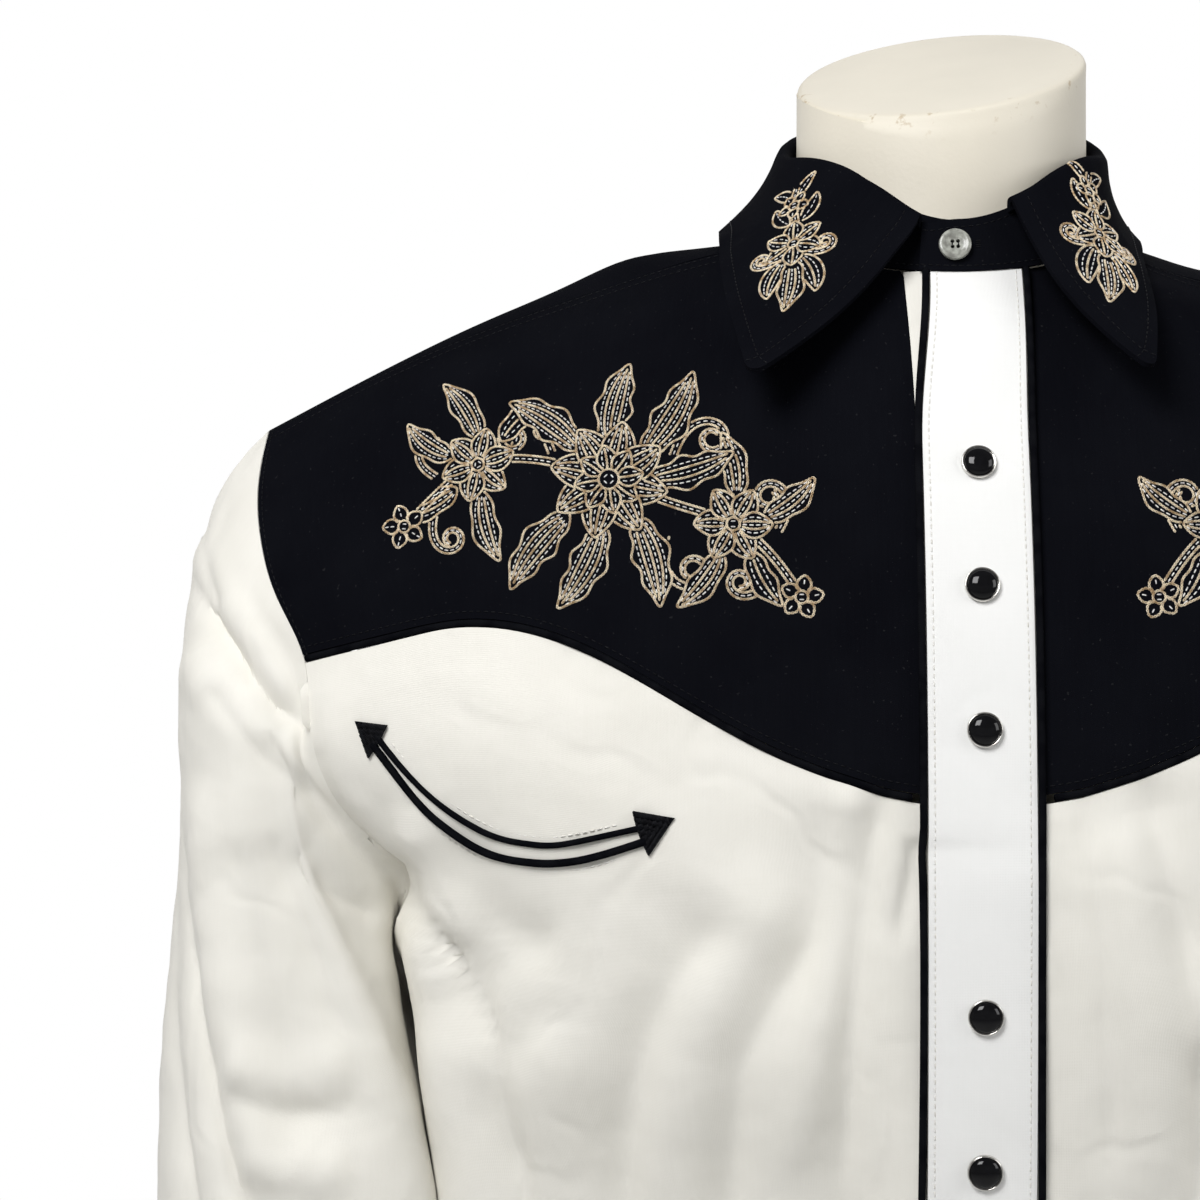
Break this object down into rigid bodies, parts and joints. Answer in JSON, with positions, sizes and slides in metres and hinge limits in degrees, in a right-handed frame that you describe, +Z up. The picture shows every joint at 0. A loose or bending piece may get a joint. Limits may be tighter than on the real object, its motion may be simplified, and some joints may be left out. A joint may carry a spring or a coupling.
{
  "type": "western snap shirt on a limbless dress form",
  "caption": "Long-sleeved western shirt with contrast yokes, pointed collar, piped snap placket and smile pockets, worn by a limbless dress form on a round-footed stand.",
  "frame": {"origin": "middle of the underside of the stand's foot", "axes": "+Z up; the chest faces -Y; +X is the wearer's left, which is the viewer's right from the front"},
  "size_m": [0.5944, 0.34, 1.1277],
  "materials": {
    "white_shirting": "fine cotton poplin",
    "black_shirting": "fine cotton poplin",
    "black_cord": "corded cotton piping and satin stitch",
    "snap_enamel": "glossy domed cap in a bright metal rim",
    "shell_button": "pearly translucent",
    "form_paint": "smooth painted shell",
    "stand_steel": "satin steel"
  },
  "bodies": {
    "root": {"front_right": "white_shirting", "front_left": "white_shirting", "back_panel": "white_shirting", "under_placket": "white_shirting", "placket": "white_shirting", "sleeve_right": "white_shirting", "sleeve_left": "white_shirting", "front_yoke_right": "black_shirting", "front_yoke_left": "black_shirting", "back_yoke": "black_shirting", "collar_stand": "black_shirting", "collar_fall": "black_shirting", "cuff_right": "black_shirting", "cuff_left": "black_shirting", "yoke_piping_right": "black_cord", "yoke_piping_left": "black_cord", "yoke_piping_back": "black_cord", "placket_piping_right": "black_cord", "placket_piping_left": "black_cord", "pocket_cord_upper_right": "black_cord", "pocket_cord_lower_right": "black_cord", "pocket_cord_upper_left": "black_cord", "pocket_cord_lower_left": "black_cord", "pocket_arrowhead_outer_right": "black_cord", "pocket_arrowhead_inner_right": "black_cord", "pocket_arrowhead_outer_left": "black_cord", "pocket_arrowhead_inner_left": "black_cord", "snap_01": "snap_enamel", "snap_02": "snap_enamel", "snap_03": "snap_enamel", "snap_04": "snap_enamel", "snap_05": "snap_enamel", "snap_06": "snap_enamel", "snap_07": "snap_enamel", "snap_08": "snap_enamel", "snap_09": "snap_enamel", "snap_10": "snap_enamel", "snap_11": "snap_enamel", "cuff_snap_upper_right": "snap_enamel", "cuff_snap_lower_right": "snap_enamel", "cuff_snap_upper_left": "snap_enamel", "cuff_snap_lower_left": "snap_enamel", "collar_button": "shell_button", "form_torso": "form_paint", "stand_foot": "stand_steel", "stand_pole": "stand_steel"}
  },
  "joints": []
}
